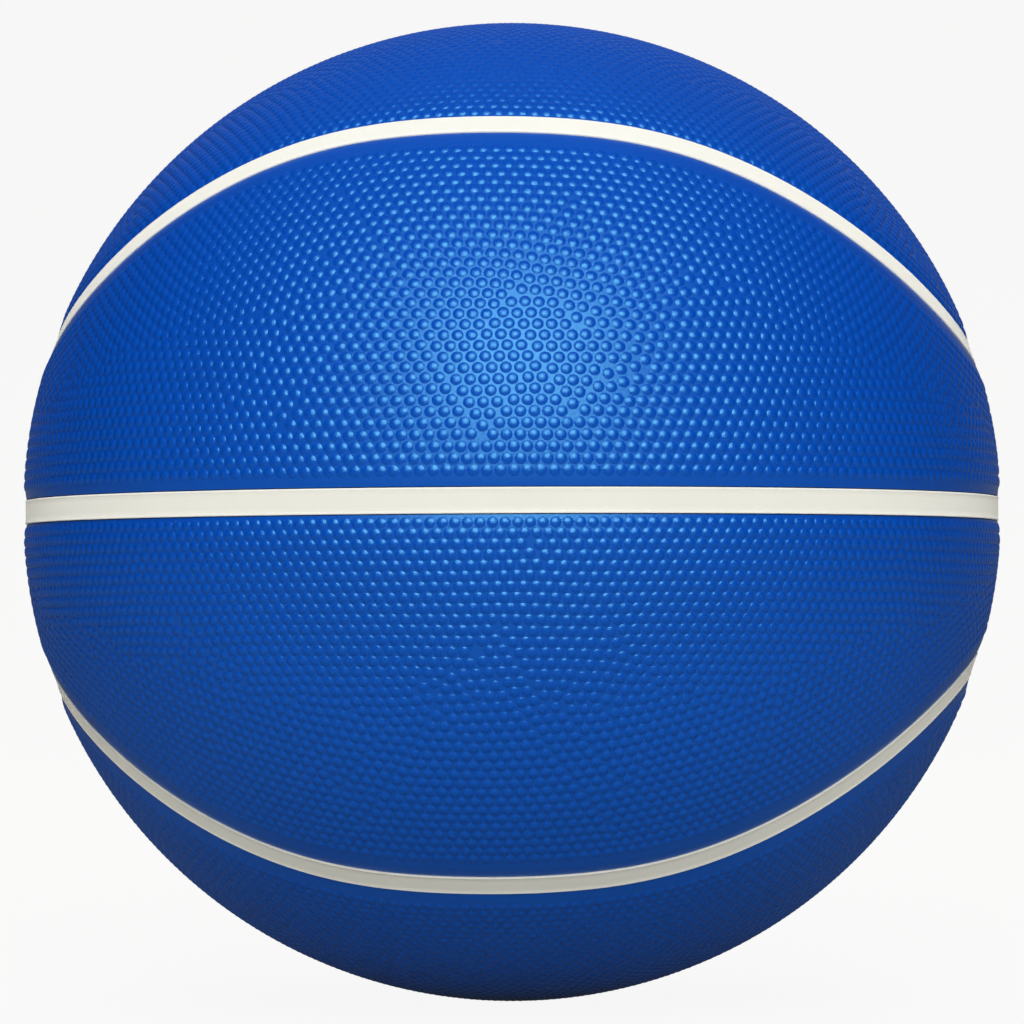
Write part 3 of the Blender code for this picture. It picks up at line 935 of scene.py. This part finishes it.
class BALL_OT_set_stage(bpy.types.Operator):
    """Camera, soft box, dim panels, even sky, and a pale floor that runs up into a backdrop"""

    bl_idname = "ball.set_stage"
    bl_label = "Set the stage"

    SENSOR_WIDTH = 36.0
    NEAR_LIMIT = 0.01
    FLOOR_SIZE = 4.0
    FLOOR_SHIFT = 0.4
    BACKDROP_HEIGHT = 3.0
    BEND = 1.0
    BEND_STEPS = 16
    PAPER_GLOSS = {"Roughness": 0.9, "Specular IOR Level": 0.1}
    EVEN_SHARE = 0.93
    GLOW_MIDDLE = (0.0, 2.4, 0.3)
    GLOW_INNER = 0.8
    GLOW_OUTER = 2.2

    def execute(self, context):
        shape, _, _, _, stage = settings(context)
        self.add_camera(context, stage)
        self.add_lamps(context, stage)
        self.add_sky(context, stage)
        self.add_floor(shape, stage)
        context.scene.view_settings.view_transform = "Standard"
        return {"FINISHED"}

    @staticmethod
    def stand(item, context, turn, height, distance, roll=0.0):
        """Stand a camera or lamp at a turn and height about the ball, looking at it."""
        level = math.cos(height)
        away = Vector((math.sin(turn) * level, -math.cos(turn) * level, math.sin(height)))
        right = RISE.cross(away).normalized()
        facing = Matrix((right, away.cross(right), away)).transposed() @ Matrix.Rotation(roll, 3, "Z")
        context.scene.collection.objects.link(item)
        item.matrix_world = Matrix.Translation(away * distance) @ facing.to_4x4()

    def add_camera(self, context, stage):
        """The camera at the photograph's place."""
        data = bpy.data.cameras.new("Photo camera")
        data.lens = stage.lens
        data.sensor_width = self.SENSOR_WIDTH
        data.clip_start = self.NEAR_LIMIT
        camera = bpy.data.objects.new("Photo camera", data)
        self.stand(camera, context, stage.azimuth, stage.elevation, stage.distance, stage.roll)
        context.scene.camera = camera

    def add_lamps(self, context, stage):
        """The soft box above the camera, and wide dim panels over the ball and behind it."""
        turn = stage.azimuth + stage.key_turn
        key_size = (stage.key_width, stage.key_tall)
        top_size = (stage.top_size, stage.top_size)
        back_size = (stage.back_size, stage.back_size)
        for name, height, distance, size, watts in (
            ("Soft box", stage.key_height, stage.key_distance, key_size, stage.key_watts),
            ("Top panel", stage.top_height, stage.top_distance, top_size, stage.top_watts),
            ("Back panel", stage.back_height, stage.back_distance, back_size, stage.back_watts),
        ):
            data = bpy.data.lights.new(name, "AREA")
            data.shape = "RECTANGLE"
            data.size, data.size_y = size
            data.energy = watts
            lamp = bpy.data.objects.new(name, data)
            lamp.visible_camera = False
            lamp.visible_glossy = name == "Soft box"
            self.stand(lamp, context, turn, stage.elevation + height, distance)

    def add_sky(self, context, stage):
        """Dim even light all round, which the camera sees as a pale backdrop."""
        world = bpy.data.worlds.new("Even sky")
        world.use_nodes = True
        world.cycles_visibility.glossy = False
        tree = world.node_tree
        light = tree.nodes["Background"]
        fill_inputs(tree, light, {"Color": (*stage.fill_tint, 1.0), "Strength": stage.sky})
        pale = add_node(tree, "ShaderNodeBackground", {"Color": WHITE, "Strength": stage.sky_tone})
        seen = add_node(tree, "ShaderNodeLightPath").outputs["Is Camera Ray"]
        self.show_even(tree, "World Output", seen, light, pale)
        context.scene.world = world

    @staticmethod
    def show_even(tree, end, share, lit, even):
        """Mix an even tone over a lit one by a share, as the tree's result."""
        layers = {0: share, 1: lit.outputs[0], 2: even.outputs[0]}
        mix = add_node(tree, "ShaderNodeMixShader", layers)
        fill_inputs(tree, tree.nodes[end], {"Surface": mix.outputs[0]})

    def add_floor(self, shape, stage):
        """A floor whose far edge bends up into a backdrop."""
        deselect()
        place = (0.0, self.FLOOR_SHIFT, -shape.radius)
        bpy.ops.mesh.primitive_plane_add(size=self.FLOOR_SIZE, location=place)
        floor = bpy.context.view_layer.objects.active
        floor.name = "Floor and backdrop"
        choose(floor.data, "POINTS", [vertex.co.y > 0.0 for vertex in floor.data.vertices])
        bpy.ops.mesh.extrude_region_move(TRANSFORM_OT_translate={"value": RISE * self.BACKDROP_HEIGHT})
        close_mesh()
        half = 0.5 * self.BACKDROP_HEIGHT
        fold = [vertex.co.y > 0.0 and vertex.co.z < half for vertex in floor.data.vertices]
        choose(floor.data, "POINTS", fold)
        bpy.ops.mesh.bevel(offset=self.BEND, segments=self.BEND_STEPS, affect="EDGES")
        close_mesh()
        floor.data.shade_smooth()
        bpy.ops.object.transform_apply(location=True, rotation=True, scale=True)
        paint(floor, self.paper(stage))

    def paper(self, stage):
        """Pale paper that keeps a soft shadow and shows an even tone to the camera."""
        material, tree, shader = new_material("Pale paper")
        grey = [stage.floor_grey * share for share in stage.fill_tint]
        fill_inputs(tree, shader, {"Base Color": (*grey, 1.0), **self.PAPER_GLOSS})
        rays = add_node(tree, "ShaderNodeLightPath").outputs
        seen = worked_out(tree, "MAXIMUM", rays["Is Camera Ray"], rays["Is Transmission Ray"])
        shown = worked_out(tree, "MAXIMUM", seen, rays["Is Glossy Ray"])
        place = add_node(tree, "ShaderNodeTexCoord").outputs["Object"]
        ends = {0: place, 1: self.GLOW_MIDDLE}
        away = add_node(tree, "ShaderNodeVectorMath", ends, operation="DISTANCE").outputs["Value"]
        # In the ball's gloss the paper glows, brightest at the backdrop's middle and dim in front: a painted
        # reflection.
        glow = mapped(tree, away, self.GLOW_INNER, self.GLOW_OUTER, stage.glow_tone, stage.floor_gloss)
        tone = mapped(tree, seen, 0.0, 1.0, glow, stage.floor_tone)
        even = add_node(tree, "ShaderNodeEmission", {"Color": WHITE, "Strength": tone})
        share = worked_out(tree, "MULTIPLY", shown, self.EVEN_SHARE)
        self.show_even(tree, "Material Output", share, shader, even)
        return material


class BALL_OT_mould_panels(bpy.types.Operator):
    """Eight pebbled cover panels"""

    bl_idname = "ball.mould_panels"
    bl_label = "Mould the panels"

    PEBBLE_PLAY = 0.06 * MM
    GLOSS = {"IOR": 1.6, "Specular IOR Level": 1.0, "Specular Tint": (0.23, 0.80, 1.0, 1.0)}
    DOME_POLISH = -0.06

    def execute(self, context):
        shape, pebbles, valve, colours, _ = settings(context)
        channels = ChannelMap(shape)
        material = self.cover_rubber(colours)
        side = pebbles.upright_margin
        upper = (pebbles.wide_margin, pebbles.high_margin, side, pebbles.valve_margin)
        lower = (pebbles.close_margin, pebbles.low_margin, side)
        top = (pebbles.cap_margin, side)
        bottom = (pebbles.base_margin, side)
        plain = SideField(channels)
        drilled = SideField(channels, valve.hole_radius)
        cap = CapField(channels)
        panels = {}
        for node, field, margins, pitch, axis in (
            ("panel_front_upper", plain, upper, pebbles.upper_pitch, None),
            ("panel_back_upper", drilled, upper, pebbles.upper_pitch, "Z"),
            ("panel_front_lower", plain, lower, pebbles.lower_pitch, "Y"),
            ("panel_top_front", cap, top, pebbles.cap_pitch, None),
            ("panel_bottom_front", cap, bottom, pebbles.cap_pitch, "Y"),
        ):
            foot = pebbles.foot_share * pitch
            rows = PebbleRows(field, margins, pitch, 2.0 * foot + self.PEBBLE_PLAY)
            panels[node] = PanelMould(node + "_pebbled", field, rows, shape, pebbles, foot).mould()
            if axis:
                turn_over(panels[node], axis)
        for node in ("panel_front_lower", "panel_top_front", "panel_bottom_front"):
            twin = node.replace("front", "back")
            panels[twin] = turned_copy(panels[node], twin + "_pebbled", "Z")
        for node, piece in panels.items():
            stand_for(piece, node, "ball", material)
        return {"FINISHED"}

    def cover_rubber(self, colours):
        """Satin blue rubber, a little smoother on the pebbles."""
        material, tree, shader = rubber(colours, "cover")
        gloss = feed_of(shader, "Roughness")
        polish = worked_out(tree, "MULTIPLY_ADD", marked(tree, "dome"), self.DOME_POLISH, gloss)
        fill_inputs(tree, shader, {"Roughness": polish, **self.GLOSS})
        return material


class BALL_OT_lay_strips(bpy.types.Operator):
    """Three ring strips and six lengths of the upright strip"""

    bl_idname = "ball.lay_strips"
    bl_label = "Lay the strips"

    RING_STEPS = 360
    LENGTH_STEP = 2.0 * MM
    FEWEST_STEPS = 8
    FLAT_SHARE = 0.45
    # Each point of a lip: its distance from the strip's side, and its share of the lip's height.
    LIP = (
        (0.62 * MM, 0.0),
        (0.50 * MM, 0.45),
        (0.40 * MM, 0.9),
        (0.26 * MM, 1.0),
        (0.12 * MM, 0.75),
        (0.03 * MM, 0.1),
    )
    SHOULDER = 0.12 * MM
    # Width and strength of the painted highlight along a strip's lips.
    LIP_HIGHLIGHT_WIDTH = 0.66 * MM
    LIP_HIGHLIGHT_SHARE = 0.85
    CREASE = 60.0

    def execute(self, context):
        shape, _, _, colours, _ = settings(context)
        channels = ChannelMap(shape)
        material = self.strip_rubber(colours)
        section = self.section(shape)
        ring = [FULL_TURN * step / self.RING_STEPS for step in range(self.RING_STEPS)]
        butt = channels.edge
        corner = channels.oval_point(channels.oval_turn(butt, 0.0), butt)
        above = math.atan2(corner.z, corner.x)
        side = self.turns(shape, butt, channels.at_sides - butt)
        over = self.turns(shape, above, math.pi - above)
        strips = {}
        for node, path, turns, closed in (
            ("equator_strip", channels.level_point, ring, True),
            ("upper_loop_strip", channels.oval_point, ring, True),
            ("meridian_strip_right_upper", channels.upright_point, side, False),
            ("meridian_strip_top", channels.upright_point, over, False),
        ):
            strips[node] = self.laid(node + "_laid", section, path, turns, closed, shape.radius)
        for node, source, axis in (
            ("lower_loop_strip", "upper_loop_strip", "X"),
            ("meridian_strip_left_upper", "meridian_strip_right_upper", "Z"),
            ("meridian_strip_right_lower", "meridian_strip_right_upper", "X"),
            ("meridian_strip_left_lower", "meridian_strip_right_upper", "Y"),
            ("meridian_strip_bottom", "meridian_strip_top", "X"),
        ):
            strips[node] = turned_copy(strips[source], node + "_laid", axis)
        for node, piece in strips.items():
            stand_for(piece, node, "ball", material)
        return {"FINISHED"}

    def section(self, shape):
        """A strip's closed section: radius, and distance from the strip's middle."""
        half = 0.5 * shape.strip_width
        face = shape.radius - shape.strip_sink
        side = [(face, 0.0), (face, self.FLAT_SHARE * half)]
        side += [(face + share * shape.lip_height, half - inset) for inset, share in self.LIP]
        side += [(face - self.SHOULDER, half), (shape.radius - shape.cover_thickness, half)]
        return side + [(reach, -across) for reach, across in reversed(side[1:])]

    def turns(self, shape, start, end):
        """Even turns along a length of the upright strip, with both ends."""
        count = max(self.FEWEST_STEPS, round((end - start) * shape.radius / self.LENGTH_STEP))
        return [start + (end - start) * step / count for step in range(count + 1)]

    def laid(self, name, section, path, turns, closed, radius):
        """The section spun, then moved along a path over the ball."""
        sweep = FULL_TURN if closed else math.pi
        steps = len(turns) if closed else len(turns) - 1
        piece = spun_section(name, section, steps, sweep)
        if not closed:
            self.close_ends()
        self.mark_lip_highlight(piece.data)
        for vertex in piece.data.vertices:
            turn = math.atan2(vertex.co.y, vertex.co.x)
            place = round((turn if closed else abs(turn)) * steps / sweep) % len(turns)
            reach = math.hypot(vertex.co.x, vertex.co.y)
            vertex.co = path(turns[place], vertex.co.z / radius) * reach
        finish_shell(piece, self.CREASE)
        return piece

    @staticmethod
    def close_ends():
        """Close both ends of the strip at hand."""
        bpy.ops.object.mode_set(mode="EDIT")
        bpy.ops.mesh.select_all(action="DESELECT")
        bpy.ops.mesh.select_mode(type="EDGE")
        bpy.ops.mesh.select_non_manifold()
        bpy.ops.mesh.fill_holes(sides=0)
        close_mesh()

    def mark_lip_highlight(self, mesh):
        """Note how near each point lies to the strip's edges, as the mask for the painted highlight along
        the lips.
        """
        across = np.array([abs(vertex.co.z) for vertex in mesh.vertices])
        marks = np.clip((across.max() - across) / self.LIP_HIGHLIGHT_WIDTH, 0.0, 1.0)
        layer = mesh.attributes.new("lip", "FLOAT", "POINT")
        layer.data.foreach_set("value", (1.0 - marks).astype(np.float32))

    def strip_rubber(self, colours):
        """Matt cream rubber with faint handling marks, and whiter lips that are a painted highlight along
        its edges.
        """
        material, tree, shader = rubber(colours, "strip")
        fill_inputs(tree, shader, {"Diffuse Roughness": 1.0})
        # Whiter lips: a painted highlight along the strip's edges.
        tone_by(tree, shader, marked(tree, "lip"), colours.lip, self.LIP_HIGHLIGHT_SHARE)
        return material


class BALL_OT_fit_valve(bpy.types.Operator):
    """The valve's sleeve, with its flange under the bladder, and the pull-out plug"""

    bl_idname = "ball.fit_valve"
    bl_label = "Fit the valve"

    STEPS = 72
    CREASE = 40.0
    # Corner cuts as shares of the edge radius.
    SLEEVE_CUT = 0.5
    PLUG_CUT = 0.3

    def execute(self, context):
        shape, _, valve, colours, _ = settings(context)
        material = rubber(colours, "valve")[0]
        rim = shape.radius - valve.face_sink
        edge = valve.edge_radius
        sleeve = self.turned("valve_sleeve_turned", self.sleeve_section(valve), rim, self.SLEEVE_CUT * edge)
        plug = self.turned("valve_plug_turned", self.plug_section(valve), rim, self.PLUG_CUT * edge)
        stand_for(sleeve, "valve_housing", "ball", material)
        stand_for(plug, "valve_plug", "valve_plug", material)
        return {"FINISHED"}

    @staticmethod
    def sleeve_section(valve):
        """Radius and height from the rim, once round the sleeve's wall."""
        end = -valve.sleeve_depth
        floor = end + valve.seat_thickness
        return [
            (valve.bore_radius, 0.0),
            (valve.sleeve_radius, 0.0),
            (valve.sleeve_radius, -valve.neck_depth),
            (valve.flange_radius, -valve.flange_depth),
            (valve.flange_radius, -valve.flange_depth - valve.flange_edge),
            (valve.boss_radius, -valve.neck_depth - valve.flange_thickness),
            (valve.boss_radius, end),
            (valve.throat_radius, end),
            (valve.throat_radius, floor),
            (valve.bore_radius, floor),
        ]

    @staticmethod
    def plug_section(valve):
        """Radius and height from the rim, once round the plug."""
        end = -valve.plug_length
        middle = 0.5 * (end - valve.plug_head)
        half = 0.5 * valve.rib_length
        return [
            (valve.mouth_radius, 0.0),
            (valve.plug_radius, 0.0),
            (valve.plug_radius, -valve.plug_head),
            (valve.stem_radius, -valve.plug_head),
            (valve.stem_radius, middle + half),
            (valve.plug_radius, middle),
            (valve.stem_radius, middle - half),
            (valve.stem_radius, end + 2.0 * half),
            (valve.plug_radius, end + half),
            (valve.stem_radius, end),
            (valve.needle_radius, end),
            (valve.needle_radius, -valve.mouth_depth),
        ]

    def turned(self, name, section, rim, cut):
        """A section with softened corners, spun about the valve's axis."""
        raised = [(radius, rim + height) for radius, height in section]
        piece = spun_section(name, raised, self.STEPS, FULL_TURN, cut)
        turn = Matrix((RIGHT, VALVE_AXIS.cross(RIGHT), VALVE_AXIS)).transposed()
        piece.data.transform(turn.to_4x4())
        finish_shell(piece, self.CREASE)
        return piece


class BALL_OT_finish_layers(bpy.types.Operator):
    """Rubbers and thread of the layers under the cover"""

    bl_idname = "ball.finish_layers"
    bl_label = "Finish the layers"

    THREAD_PITCH = 0.9 * MM
    THREAD_RELIEF = 0.3 * THREAD_PITCH
    WINDING_TILTS = ((0.35, 0.0, 0.0), (1.25, 0.6, 0.0), (-0.9, 1.1, 0.4))

    def execute(self, context):
        _, _, _, colours, _ = settings(context)
        for node, key in (("carcass", "carcass"), ("bladder", "bladder"), ("valve_seal", "gum")):
            paint(frame["nodes"][node], rubber(colours, key)[0])
        paint(frame["nodes"]["thread_winding"], self.wound_thread(colours))
        return {"FINISHED"}

    def wound_thread(self, colours):
        """Nylon thread wound in three crossing sets of turns, darker in the gaps between them."""
        material, tree, shader = rubber(colours, "thread")
        place = add_node(tree, "ShaderNodeTexCoord").outputs["Object"]
        # At scale 1 the wave repeats every pi / 10.
        scale = math.pi / (10.0 * self.THREAD_PITCH)
        crest = 0.0
        for tilt in self.WINDING_TILTS:
            tilted = add_node(tree, "ShaderNodeMapping", {"Vector": place, "Rotation": tilt}).outputs[0]
            values = {"Vector": tilted, "Scale": scale}
            turns = add_node(tree, "ShaderNodeTexWave", values, bands_direction="Z")
            crest = worked_out(tree, "MAXIMUM", crest, turns.outputs["Fac"])
        gap = worked_out(tree, "SUBTRACT", 1.0, crest)
        tone_by(tree, shader, gap, colours.thread_gap, 1.0)
        values = {"Distance": self.THREAD_RELIEF, "Height": crest, "Normal": feed_of(shader, "Normal")}
        relief = add_node(tree, "ShaderNodeBump", values)
        fill_inputs(tree, shader, {"Normal": relief.outputs["Normal"]})
        return material


class BALL_PT_sidebar(bpy.types.Panel):
    """Lists the steps and their settings"""

    bl_idname = "BALL_PT_sidebar"
    bl_label = "Basketball"
    bl_space_type = "VIEW_3D"
    bl_region_type = "UI"
    bl_category = "Basketball"

    def draw(self, context):
        for step in STEPS:
            self.layout.operator(step.bl_idname)
        for group in settings(context):
            box = self.layout.box()
            for key in group.__annotations__:
                box.prop(group, key)


GROUPS = {
    "ball_shape": BallShape,
    "ball_pebbles": PebbleShape,
    "ball_valve": ValveShape,
    "ball_colours": BallColours,
    "ball_stage": StageSetup,
}
STEPS = (
    BALL_OT_set_stage,
    BALL_OT_mould_panels,
    BALL_OT_lay_strips,
    BALL_OT_fit_valve,
    BALL_OT_finish_layers,
)


def register():
    for name, group in GROUPS.items():
        bpy.utils.register_class(group)
        setattr(bpy.types.Scene, name, bpy.props.PointerProperty(type=group))
    for step in STEPS:
        bpy.utils.register_class(step)
    bpy.utils.register_class(BALL_PT_sidebar)


def unregister():
    bpy.utils.unregister_class(BALL_PT_sidebar)
    for step in reversed(STEPS):
        bpy.utils.unregister_class(step)
    for name, group in reversed(GROUPS.items()):
        delattr(bpy.types.Scene, name)
        bpy.utils.unregister_class(group)


def main():
    register()
    bpy.ops.ball.set_stage()
    bpy.ops.ball.mould_panels()
    bpy.ops.ball.lay_strips()
    bpy.ops.ball.fit_valve()
    bpy.ops.ball.finish_layers()


if __name__ == "__main__":
    main()
